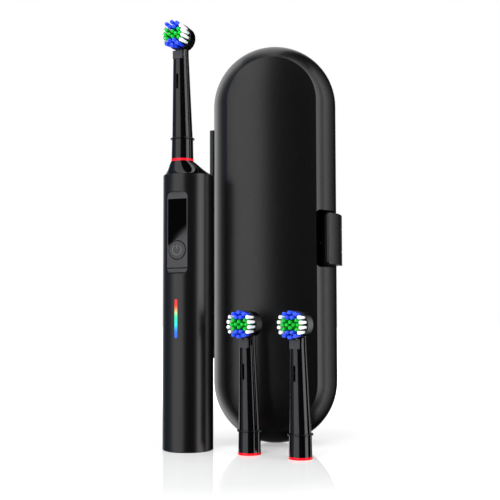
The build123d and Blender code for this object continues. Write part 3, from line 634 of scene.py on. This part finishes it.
# ---- studio
@dataclass
class Studio:
    """Camera, backdrop light and floor."""

    lens: float = 67.75
    camera_place: tuple[float, float, float] = (98.9, -534.1, 81.5)
    camera_turn: float = 6.74
    camera_pitch: float = 3.4
    camera_roll: float = 0.113
    floor_side: float = 6000.0
    floor_mirror: float = 0.92
    floor_pool: tuple[float, float] = (130.0, 450.0)
    floor_glow: tuple[float, float] = (110.0, 400.0)
    glow_levels: tuple[float, float] = (0.62, 1.6)
    floor_white: float = 0.45
    # Light by direction round the set, in degrees from the camera towards its right.
    panels: list = field(default_factory=lambda: [
        (-180, "FFFFFF", 1.0), (-150, "FFFFFF", 0.9), (-132, "A0B0D0", 0.3), (-118, "8C9CC0", 0.24),
        (-104, "A0B0D0", 0.4), (-88, "B4C4E0", 0.5), (-76, "E0E8F4", 0.55),
        (-67, "FFFFFF", 1.65), (-20, "FFFFFF", 1.6), (-15, "FFFFFF", 0.03), (44, "FFFFFF", 0.0),
        (47, "FFFFFF", 2.85), (76, "FFFFFF", 2.85), (80, "FFFFFF", 0.02), (100, "FFFFFF", 0.0),
        (162, "FFFFFF", 0.0), (170, "FFFFFF", 1.0), (180, "FFFFFF", 1.0)])
    brightest: float = 3.0
    # Below this share of straight down, the directions go dark: the floor there is in shade.
    low_shade: tuple[float, float] = (-0.22, -0.5)
    shade_left: float = 0.05
    # Upright cards, seen only in reflections, that light the case's two borders: near end, far end
    # and light along them.
    cards: dict = field(default_factory=lambda: {
        "left_card": ((-48.0, 31.0), (-22.0, 110.0),
                      ((0.0, 0.3), (0.2, 0.85), (0.45, 1.55), (0.7, 1.2), (1.0, 0.8))),
        "right_card": ((172.0, 24.0), (118.0, 78.0),
                       ((0.0, 2.3), (0.2, 1.5), (0.4, 0.8), (0.6, 0.35), (0.8, 0.12),
                        (1.0, 0.05)))})
    card_heights: tuple[float, float] = (-60.0, 330.0)
    # Name, place, aim, side and watts of each soft lamp.
    fills: tuple = (("front_fill", (-250, -900, 420), (40, 0, 150), 700, 9.0),
                    ("top_fill", (60, -150, 1100), (40, 0, 100), 900, 10.0))

    def place_camera(self) -> None:
        """Adds the camera and makes it the scene's."""
        data = bpy.data.cameras.new("camera")
        data.lens = self.lens
        data.sensor_width = 36.0
        data.clip_start = 0.01
        data.clip_end = 50.0
        camera = bpy.data.objects.new("camera", data)
        camera.location = Vector(self.camera_place) * MM
        camera.rotation_euler = [math.radians(angle) for angle in
                                 (90 + self.camera_pitch, self.camera_roll, self.camera_turn)]
        bpy.context.scene.collection.objects.link(camera)
        bpy.context.scene.camera = camera

    def light_world(self) -> None:
        """Surrounds the set with tall soft panels, and puts white behind it."""
        world = bpy.data.worlds.new("studio")
        world.use_nodes = True
        tree = world.node_tree
        tree.nodes.clear()
        way = add_node(tree, "TexCoord").outputs["Generated"]
        parts = add_node(tree, "SeparateXYZ", None, {"Vector": way}).outputs
        back = add_node(tree, "Math", {1: -1.0}, {0: parts["Y"]}, operation="MULTIPLY")
        angle = add_node(tree, "Math", None, {0: parts["X"], 1: back.outputs[0]},
                         operation="ARCTAN2")
        shift = add_node(tree, "Math", {1: math.radians(self.camera_turn)},
                         {0: angle.outputs[0]}, operation="SUBTRACT")
        turn = add_node(tree, "Math", {1: math.pi, 2: -math.pi}, {0: shift.outputs[0]},
                        operation="WRAP")
        share = add_node(tree, "MapRange", {"From Min": -math.pi, "From Max": math.pi},
                         {"Value": turn.outputs[0]})
        ramp = add_node(tree, "ValToRGB", None, {"Fac": share.outputs["Result"]})
        set_stops(ramp, [((degrees + 180) / 360, scaled(tint, level / self.brightest))
                         for degrees, tint, level in self.panels])
        shade = add_node(tree, "MapRange",
                         {"From Min": self.low_shade[0], "From Max": self.low_shade[1],
                          "To Min": self.brightest, "To Max": self.shade_left * self.brightest},
                         {"Value": parts["Z"]})
        panels = add_node(tree, "Background", None,
                          {"Color": ramp.outputs["Color"], "Strength": shade.outputs["Result"]})
        white = add_node(tree, "Background", {"Color": (1, 1, 1, 1), "Strength": 1.0})
        seen = add_node(tree, "LightPath").outputs["Is Camera Ray"]
        both = add_node(tree, "MixShader", None,
                        {0: seen, 1: panels.outputs[0], 2: white.outputs[0]})
        add_node(tree, "OutputWorld", None, {"Surface": both.outputs[0]})
        bpy.context.scene.world = world

    def add_fill(self) -> None:
        """Adds a broad soft lamp in front and one above, for the bristles and the floor."""
        for name, place, aim, side, power in self.fills:
            data = bpy.data.lights.new(name, "AREA")
            data.shape = "SQUARE"
            data.size = side * MM
            data.energy = power
            lamp = bpy.data.objects.new(name, data)
            lamp.location = Vector(place) * MM
            way = (Vector(aim) - Vector(place)).normalized()
            lamp.rotation_euler = way.to_track_quat("-Z", "Y").to_euler()
            lamp.visible_glossy = False
            bpy.context.scene.collection.objects.link(lamp)

    def stand_cards(self) -> None:
        """Stands the two upright cards that light the rounded borders of the case."""
        low, high = self.card_heights
        for name, (near, far, light) in self.cards.items():
            bm = bmesh.new()
            uv = bm.loops.layers.uv.new("along")
            corners = [bm.verts.new((x, y, z)) for (x, y), z in
                       ((near, low), (far, low), (far, high), (near, high))]
            face = bm.faces.new(corners)
            for loop, corner in zip(face.loops, ((0, 0), (1, 0), (1, 1), (0, 1))):
                loop[uv].uv = corner
            card = finish_mesh(name, bm)
            made = blank_material(name)
            tree = made.node_tree
            place = add_node(tree, "UVMap", uv_map="along").outputs[0]
            along = add_node(tree, "SeparateXYZ", None, {"Vector": place}).outputs["X"]
            ramp = add_node(tree, "ValToRGB", None, {"Fac": along})
            set_stops(ramp, [(share, scaled("FFFFFF", level / self.brightest))
                             for share, level in light])
            glow = add_node(tree, "Emission", {"Strength": self.brightest},
                            {"Color": ramp.outputs["Color"]})
            # The floor's sharp mirror doesn't show the cards.
            sharp = add_node(tree, "LightPath").outputs["Is Singular Ray"]
            clear = add_node(tree, "BsdfTransparent")
            both = add_node(tree, "MixShader", None,
                            {0: sharp, 1: glow.outputs[0], 2: clear.outputs[0]})
            add_node(tree, "OutputMaterial", None, {"Surface": both.outputs[0]})
            dress(card, made)
            card.visible_camera = False
            card.visible_diffuse = False
            card.visible_shadow = False
            card.visible_transmission = False

    def lay_floor(self) -> None:
        """Lays a white, faintly mirroring floor under the set."""
        bm = bmesh.new()
        bmesh.ops.create_grid(bm, x_segments=1, y_segments=1, size=self.floor_side / 2)
        floor = finish_mesh("floor", bm)
        made = blank_material("floor_white_acrylic")
        tree = made.node_tree
        place = add_node(tree, "TexCoord").outputs["Object"]
        far = add_node(tree, "VectorMath", None, {0: place}, operation="LENGTH")
        spread = add_node(tree, "MapRange",
                          {"From Min": self.floor_glow[0] * MM, "From Max": self.floor_glow[1] * MM,
                           "To Min": self.glow_levels[0], "To Max": self.glow_levels[1]},
                          {"Value": far.outputs["Value"]})
        glow = add_node(tree, "Emission", {"Color": (1, 1, 1, 1)},
                        {"Strength": spread.outputs["Result"]})
        flat = add_node(tree, "BsdfDiffuse", {"Color": scaled("FFFFFF", self.floor_white)})
        both = add_node(tree, "AddShader", None, {0: glow.outputs[0], 1: flat.outputs[0]})
        mirror = add_node(tree, "BsdfGlossy", {"Roughness": 0.0})
        pool = add_node(tree, "MapRange",
                        {"From Min": self.floor_pool[0] * MM, "From Max": self.floor_pool[1] * MM,
                         "To Min": self.floor_mirror, "To Max": 0.0},
                        {"Value": far.outputs["Value"]})
        slant = add_node(tree, "Fresnel", {"IOR": 1.5})
        share = add_node(tree, "Math", None,
                         {0: pool.outputs["Result"], 1: slant.outputs[0]}, operation="MULTIPLY")
        mixed = add_node(tree, "MixShader", None,
                         {0: share.outputs[0], 1: both.outputs[0], 2: mirror.outputs[0]})
        add_node(tree, "OutputMaterial", None, {"Surface": mixed.outputs[0]})
        dress(floor, made)
        floor.visible_glossy = False

    def build(self) -> None:
        """Sets up everything that isn't part of the set."""
        bpy.context.scene.view_settings.view_transform = "Standard"
        self.place_camera()
        self.light_world()
        self.add_fill()
        self.stand_cards()
        self.lay_floor()
        log.info("studio: camera, light panels, two lamps and a floor")


# ---- brush heads
@dataclass
class BrushHead:
    """One brush head: finishes for its nodes, and tufts made of single filaments."""

    label: str
    seat: Seat
    disc_height: float = 71.4
    disc_face: float = -5.0
    filament_radius: float = 0.125
    root_pitch: float = 0.225
    filament_rings: int = 3
    sides: int = 6
    splay: float = 0.065
    dome: float = 0.8
    dome_power: float = 2.2
    stretch: float = 1.0
    # Share of a filament's length and share of its radius, up to where its rounded tip closes.
    profile: tuple = ((0.5, 1.1), (0.95, 1.2), (0.988, 0.8))
    lengths: dict = field(default_factory=lambda: {"white": 7.4, "green": 7.0, "blue": 7.8})
    flares: dict = field(default_factory=lambda: {"white": 1.3, "green": 1.35, "blue": 1.4})

    def places(self) -> dict[str, list[tuple[float, float]]]:
        """Lays out the tufts on the disc.

        Returns:
            Root places across and up, by colour.
        """
        signs = (-1, 1)
        green = [(a * 3.6, b * 2.2) for a in signs for b in signs]
        green += [(0, -1.45), (0, 1.45), (-4.4, 0), (-1.95, 0), (1.95, 0), (4.4, 0)]
        white = [(a * x, b * y) for x, y in ((5.3, 3.8), (6.2, 1.3)) for a in signs for b in signs]
        blue = [(a * x, b * y) for x, y in ((3.1, 5.4), (1.4, 3.7)) for a in signs for b in signs]
        blue += [(0, 6.2), (0, -6.2)]
        return {"white": white, "green": green, "blue": blue}

    def filament_spots(self) -> list[tuple[float, float]]:
        """Packs the filaments of a tuft closely.

        Returns:
            Places round the tuft's middle.
        """
        pitch = self.root_pitch
        reach = self.filament_rings
        spots = []
        for i in range(-reach, reach + 1):
            for j in range(-reach, reach + 1):
                if abs(i + j) <= reach:
                    spots.append((pitch * (i + j / 2), pitch * j * math.sqrt(3) / 2))
        return spots

    def add_filament(self, bm: BMesh, share: object, root: Vector, tip: Vector) -> None:
        """Adds one filament with a rounded tip.

        Args:
            bm: The tuft mesh, in the disc's frame.
            share: Float layer that holds how near the tip each point is.
            root: Where the filament leaves the disc.
            tip: Where it ends.
        """
        way = tip - root
        turn = way.to_track_quat("Z", "Y").to_matrix().to_4x4()
        made = bmesh.ops.create_circle(bm, cap_ends=False, segments=self.sides,
                                       radius=self.filament_radius,
                                       matrix=Matrix.Translation(root) @ turn)
        ring = made["verts"]
        edges = list({e for v in ring for e in v.link_edges})
        for v in ring:
            v[share] = 0.0
        for along, width in self.profile:
            grown = bmesh.ops.extrude_edge_only(bm, edges=edges)["geom"]
            ring = [g for g in grown if isinstance(g, BMVert)]
            edges = [g for g in grown if isinstance(g, BMEdge)]
            middle = sum((v.co for v in ring), Vector()) / len(ring)
            target = root + way * along
            for v in ring:
                v.co = target + (v.co - middle).normalized() * self.filament_radius * width
                v[share] = along
        cap = bmesh.ops.contextual_create(bm, geom=edges)["faces"]
        peak = bmesh.ops.poke(bm, faces=cap)["verts"]
        for v in peak:
            v.co = tip
            v[share] = 1.0

    def tufts(self, colour: str) -> Object:
        """Builds every tuft of one colour as bundles of filaments.

        A head with the first head's length of tuft takes a moved copy of that head's tufts.

        Args:
            colour: Which group of tufts.

        Returns:
            The finished piece.
        """
        home = self.seat.matrix() @ Matrix.Translation((0, 0, self.disc_height))
        known = bpy.data.meshes.get(f"spare_a_{colour}_bristles")
        bm = bmesh.new()
        if known and self.stretch == 1.0:
            bm.from_mesh(known)
            back = Matrix.Scale(1 / MM, 4)
            first = Matrix([row[:] for row in known["home"]])
            bmesh.ops.transform(bm, matrix=home @ first.inverted() @ back, verts=bm.verts)
            return finish_mesh(f"{self.label}_{colour}_bristles", bm, 60.0)
        share = bm.verts.layers.float.new("tip_share")
        spots = self.filament_spots()
        reach = max(math.hypot(*s) for s in spots)
        length = self.lengths[colour] * self.stretch
        lean = 1 + self.splay
        wide = self.flares[colour]
        for x, z in self.places()[colour]:
            for a, b in spots:
                off = math.hypot(a, b) / reach
                root = Vector((x + a, self.disc_face, z + b))
                rise = length - self.dome * off ** self.dome_power
                tip = Vector(((x + a * wide) * lean, self.disc_face - rise, (z + b * wide) * lean))
                self.add_filament(bm, share, root, tip)
        bmesh.ops.recalc_face_normals(bm, faces=bm.faces)
        bmesh.ops.transform(bm, matrix=home, verts=bm.verts)
        piece = finish_mesh(f"{self.label}_{colour}_bristles", bm, 60.0)
        piece.data["home"] = [list(row) for row in home]
        return piece

    def build(self, nodes: dict[str, Object]) -> None:
        """Dresses the head's nodes and puts its bristles in.

        Args:
            nodes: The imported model's nodes by name.
        """
        for finish, names in HEAD_FINISHES.items():
            for name in names:
                dress(nodes[f"{self.label}_{name}"], finish.material())
        colours = {"white": Finish.WHITE_TUFT, "green": Finish.GREEN_TUFT, "blue": Finish.BLUE_TUFT}
        for colour, finish in colours.items():
            piece = self.tufts(colour)
            dress(piece, finish.material())
            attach(piece, f"{self.label}_disc")
            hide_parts(f"{self.label}_{colour}_tufts")
        log.info("%s: neck, disc and %d tufts", self.label, sum(map(len, self.places().values())))


# ---- handle
@dataclass
class Handle:
    """The handle: its flared shoulder, the symbol on its button and its light bar."""

    seat: Seat
    body_radius: float = 14.5
    body_top: float = 156.5
    shoulder_top: float = 164.0
    neck_offset: float = 7.2
    land_radius: float = 6.6
    nose_radius: float = 4.6
    nose_length: float = 5.5
    bush_radius: float = 3.5
    nose_bevel: float = 0.5
    bush_depth: float = 3.0
    # The flare's foot: height against the body's top, and what its radius gains.
    foot_roll: tuple = ((-0.3, -0.35), (-0.18, -0.08), (0.05, 0.0))
    hollow: float = 0.16
    flare_steps: int = 24
    steps: int = 96
    panel_face: float = 13.1
    button_height: float = 113.1
    button_proud: float = 0.45
    symbol_radius: float = 2.8
    symbol_width: float = 0.5
    symbol_gap: float = 60.0
    symbol_depth: tuple[float, float] = (0.05, -0.12)
    symbol_bar: tuple[float, float] = (0.7, 3.3)
    bar_margin: float = 1.0

    def shoulder(self) -> Object:
        """Builds the shoulder as a slightly hollow oblique flare with its land and nose.

        Returns:
            The finished piece.
        """
        bm = bmesh.new()
        rings = []
        height = self.shoulder_top - self.body_top
        for up, inset in self.foot_roll:
            rings.append((self.body_radius + inset, Vector((0, 0, self.body_top + up))))
        for i in range(1, self.flare_steps + 1):
            t = i / self.flare_steps
            eased = t - self.hollow * math.sin(math.pi * t) * (1 - t)
            radius = self.body_radius + (self.land_radius - self.body_radius) * (t + (t - eased))
            rings.append((radius, Vector((0, -self.neck_offset * t, self.body_top + height * t))))
        axis = Vector((0, -self.neck_offset, 0))
        top = self.shoulder_top
        peak = top + self.nose_length
        bevel = self.nose_bevel
        for radius, z in ((self.nose_radius, top), (self.nose_radius, peak - bevel),
                          (self.nose_radius - bevel, peak), (self.bush_radius, peak),
                          (self.bush_radius, top - self.bush_depth)):
            rings.append((radius, axis + Vector((0, 0, z))))
        skin(bm, rings, self.steps)
        fuse(bm)
        bmesh.ops.transform(bm, matrix=self.seat.matrix(), verts=bm.verts)
        return finish_mesh("shoulder", bm, 40.0)

    def power_symbol(self) -> Object:
        """Builds the raised mark on the button: an open circle and a short bar.

        Returns:
            The finished piece.
        """
        bm = bmesh.new()
        half = self.symbol_width / 2
        back, front = self.symbol_depth
        face = -self.panel_face - self.button_proud
        corners = [(self.symbol_radius - half, back), (self.symbol_radius - half, front),
                   (self.symbol_radius + half, front), (self.symbol_radius + half, back)]
        section = [bm.verts.new((x, y, 0)) for x, y in corners]
        edges = [bm.edges.new((section[i], section[(i + 1) % 4])) for i in range(4)]
        open_half = math.radians(self.symbol_gap / 2)
        axis = Vector((0, 1, 0))
        bmesh.ops.rotate(bm, cent=(0, 0, 0), verts=section,
                         matrix=Matrix.Rotation(open_half - math.pi / 2, 3, axis))
        bmesh.ops.spin(bm, geom=section + edges, cent=(0, 0, 0), axis=axis,
                       angle=2 * math.pi - 2 * open_half, steps=40, use_merge=False)
        bmesh.ops.holes_fill(bm, edges=[e for e in bm.edges if e.is_boundary], sides=4)
        low, high = self.symbol_bar
        bmesh.ops.create_cube(
            bm, size=1.0, matrix=Matrix.Translation((0, (front + back) / 2, (low + high) / 2))
            @ Matrix.Diagonal((self.symbol_width, back - front, high - low, 1)))
        bmesh.ops.recalc_face_normals(bm, faces=bm.faces)
        home = self.seat.matrix() @ Matrix.Translation((0, face, self.button_height))
        bmesh.ops.transform(bm, matrix=home, verts=bm.verts)
        return finish_mesh("power_symbol", bm)

    def build(self, nodes: dict[str, Object]) -> None:
        """Adds the handle's own pieces and dresses its light bar.

        Args:
            nodes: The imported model's nodes by name.
        """
        shoulder = self.shoulder()
        dress(shoulder, Finish.SHOULDER.material())
        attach(shoulder, "handle")
        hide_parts("shoulder_cap")
        symbol = self.power_symbol()
        dress(symbol, Finish.SYMBOL.material())
        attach(symbol, "power_button")
        low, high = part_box("light_bar")
        guide = LitGuide("light_guide_lit", low.z / MM + self.bar_margin,
                         high.z / MM - self.bar_margin)
        dress(nodes["light_bar"], guide.material())
        log.info("handle: shoulder, power symbol and light bar")


# ---- case
@dataclass
class CaseLatch:
    """The case's latch: a curved flap with a rolled free end, on two knuckles round its pin."""

    corner: Vector
    low_z: float
    high_z: float
    inner: float = 27.8
    outer: float = 29.8
    hinge: tuple[float, float] = (28.5, 4.6)
    knuckle: float = 1.7
    bore: float = 0.8
    sweep: float = 40.5
    hook: float = 0.8
    hook_thick: float = 1.7
    roll: float = 0.8
    root: float = 2.6
    lug: tuple[float, float] = (8.2, 22.3)
    # Rounding towards each end: height from the end, what the free end gives up, the face's dip.
    ends: tuple = ((0.0, 1.7, 0.45), (0.15, 1.15, 0.18), (0.45, 0.65, 0.0), (1.0, 0.2, 0.0),
                   (1.8, 0.0, 0.0))
    mark_turn: float = 34.0
    mark_height: float = 3.3
    # Radius and height over the flap's face of each ring of the thumb mark.
    mark_rings: tuple = ((1.45, -0.1), (1.4, 0.05), (1.2, 0.09), (0.98, 0.02), (0.8, 0.0),
                         (0.6, 0.07), (0.35, 0.09), (0.05, 0.09), (0.05, -0.1), (1.45, -0.1))

    def outline(self, cut: float, dip: float) -> list[tuple[float, float]]:
        """Level outline of the flap, from its outer root corner round to its inner one.

        Args:
            cut: How much shorter the flap is along its outer face.
            dip: How far the outer face lies inside its full radius.

        Returns:
            The outline's points.
        """
        end = math.radians(self.sweep) - cut / self.outer
        roll_turn = self.roll / self.outer
        polar = []
        for i in range(17):
            turn = (end - roll_turn) * i / 16
            ease = min(1.0, i / 3)
            polar.append((self.outer - dip * ease, turn))
        for i in range(1, 9):
            t = math.pi / 2 * i / 8
            polar.append((self.outer - dip - self.roll * (1 - math.cos(t)),
                          end - roll_turn * (1 - math.sin(t))))
        back = self.inner - self.hook
        polar += [(back + 0.4, end), (back, end - 0.4 / back), (back, end - self.hook_thick / back),
                  (self.inner, end - self.hook_thick / self.inner)]
        last = polar[-1][1]
        polar += [(self.inner, last * (1 - i / 14)) for i in range(1, 15)]
        curve = [(r * math.cos(turn), -r * math.sin(turn)) for r, turn in polar]
        return [(self.outer, self.root)] + curve + [(self.inner, self.root)]

    def knuckle_outline(self) -> list[tuple[float, float]]:
        """Level outline of a knuckle, between the flap's two root corners.

        Returns:
            The outline's points.
        """
        x, y = self.hinge
        start = -math.acos((self.outer - x) / self.knuckle)
        end = math.tau - math.acos((self.inner - x) / self.knuckle)
        arc = [start + (end - start) * i / 28 for i in range(29)]
        ring = [(x + self.knuckle * math.cos(t), y + self.knuckle * math.sin(t)) for t in arc]
        return [(self.inner, self.root)] + ring[::-1] + [(self.outer, self.root)]

    def add_knuckle(self, bm: BMesh, low: float, high: float) -> None:
        """Adds one bored knuckle, open where it meets the flap.

        Args:
            bm: The flap's mesh.
            low: Where the knuckle starts.
            high: Where it ends.
        """
        x, y = self.hinge
        turns = [math.tau * i / 24 for i in range(24)]
        bore = [(x + self.bore * math.cos(t), y + self.bore * math.sin(t)) for t in turns]
        sides = []
        for outline, closed in ((self.knuckle_outline(), False), (bore, True)):
            rows = [[bm.verts.new((a, b, z)) for a, b in outline] for z in (low, high)]
            count = len(outline)
            for i in range(count if closed else count - 1):
                j = (i + 1) % count
                bm.faces.new((rows[0][i], rows[0][j], rows[1][j], rows[1][i]))
            sides.append(rows)
        for level in (0, 1):
            rim = []
            for rows in sides:
                row = rows[level]
                for i, vert in enumerate(row):
                    after = row[(i + 1) % len(row)]
                    rim.append(bm.edges.get((vert, after)) or bm.edges.new((vert, after)))
            bmesh.ops.triangle_fill(bm, edges=rim, use_beauty=True)

    def flap(self) -> Object:
        """Builds the flap with its knuckles as one closed piece.

        Returns:
            The finished piece.
        """
        bm = bmesh.new()
        tall = self.high_z - self.low_z
        levels = [*self.ends, (self.lug[0], 0.0, 0.0), (self.lug[1], 0.0, 0.0)]
        levels += [(tall - z, cut, dip) for z, cut, dip in reversed(self.ends)]
        rows = [[bm.verts.new((x, y, z)) for x, y in self.outline(cut, dip)]
                for z, cut, dip in levels]
        for k, (low, high) in enumerate(zip(rows, rows[1:])):
            for i in range(len(low) - 1):
                bm.faces.new((low[i], low[i + 1], high[i + 1], high[i]))
            if levels[k][0] == self.lug[0]:
                bm.faces.new((low[-1], low[0], high[0], high[-1]))
        bm.faces.new(rows[0])
        bm.faces.new(rows[-1])
        self.add_knuckle(bm, 0.0, self.lug[0])
        self.add_knuckle(bm, self.lug[1], tall)
        fuse(bm)
        bmesh.ops.translate(bm, vec=self.corner + Vector((0, 0, self.low_z)), verts=bm.verts)
        return finish_mesh("latch_flap", bm, 40.0)

    def thumb_mark(self) -> Object:
        """Builds the small raised rings near the flap's foot that show where to push.

        Returns:
            The finished piece.
        """
        bm = bmesh.new()
        skin(bm, [(radius, Vector((0, 0, up))) for radius, up in self.mark_rings], 36)
        fuse(bm)
        turn = math.radians(self.mark_turn)
        way = Vector((math.cos(turn), -math.sin(turn), 0))
        spot = self.corner + way * self.outer + Vector((0, 0, self.low_z + self.mark_height))
        tilt = way.to_track_quat("Z", "Y").to_matrix().to_4x4()
        bmesh.ops.transform(bm, matrix=Matrix.Translation(spot) @ tilt, verts=bm.verts)
        return finish_mesh("latch_thumb_mark", bm)

    def build(self) -> None:
        """Puts the flap and its thumb mark in."""
        flap = self.flap()
        mark = self.thumb_mark()
        for piece in (flap, mark):
            dress(piece, Finish.LATCH.material())
            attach(piece, "latch")
        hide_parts("case_latch")
        log.info("case: latch flap and thumb mark")


def even_shell(node: Object, name: str, body: str) -> None:
    """Stands a copy in for a case half, with the stray normals at its domes' poles put right.

    Args:
        node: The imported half.
        name: The copy's name.
        body: The body that carries it.
    """
    mesh = node.data.copy()
    mesh.name = name
    normals = [corner.vector.copy() for corner in mesh.corner_normals]
    limit = math.cos(math.radians(20.0))
    for polygon in mesh.polygons:
        for k in polygon.loop_indices:
            if normals[k].dot(polygon.normal) < limit:
                normals[k] = polygon.normal.copy()
    mesh.normals_split_custom_set(normals)
    shell = bpy.data.objects.new(name, mesh)
    bpy.context.scene.collection.objects.link(shell)
    dress(shell, Finish.CASE.material())
    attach(shell, body)
    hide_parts(node.name)


# ---- the whole set
def dress_nodes(nodes: dict[str, Object]) -> None:
    """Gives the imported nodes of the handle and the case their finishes.

    Args:
        nodes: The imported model's nodes by name.
    """
    for finish, names in NODE_FINISHES.items():
        for name in names:
            dress(nodes[name], finish.material())


def main() -> None:
    """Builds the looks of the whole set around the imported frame."""
    logging.basicConfig(level=logging.INFO, format="%(name)s: %(message)s")
    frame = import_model()
    nodes = frame["nodes"]
    Studio().build()
    dress_nodes(nodes)
    handle_turn = facing_turn(joint_named(frame, "head_disc_swing")["axis"])
    Handle(Seat(Vector((0, 0, 0)), handle_turn)).build(nodes)
    latch_low, latch_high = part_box("case_latch")
    reach = CaseLatch.knuckle + CaseLatch.hinge[0]
    corner = Vector((latch_high.x / MM - reach,
                     latch_high.y / MM - CaseLatch.knuckle - CaseLatch.hinge[1], 0))
    CaseLatch(corner, latch_low.z / MM, latch_high.z / MM).build()
    even_shell(nodes["case_front"], "front_shell", "case")
    even_shell(nodes["case_rear"], "rear_shell", "case_back")
    for label, stretch in (("spare_a", 1.0), ("spare_b", 1.0), ("head", 1.2)):
        swing = joint_named(frame, f"{label}_disc_swing")
        low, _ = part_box(f"{label}_ring")
        foot = Vector((swing["pos_m"][0] / MM, swing["pos_m"][1] / MM, low.z / MM))
        BrushHead(label, Seat(foot, facing_turn(swing["axis"])), stretch=stretch).build(nodes)


if __name__ == "__main__":
    main()
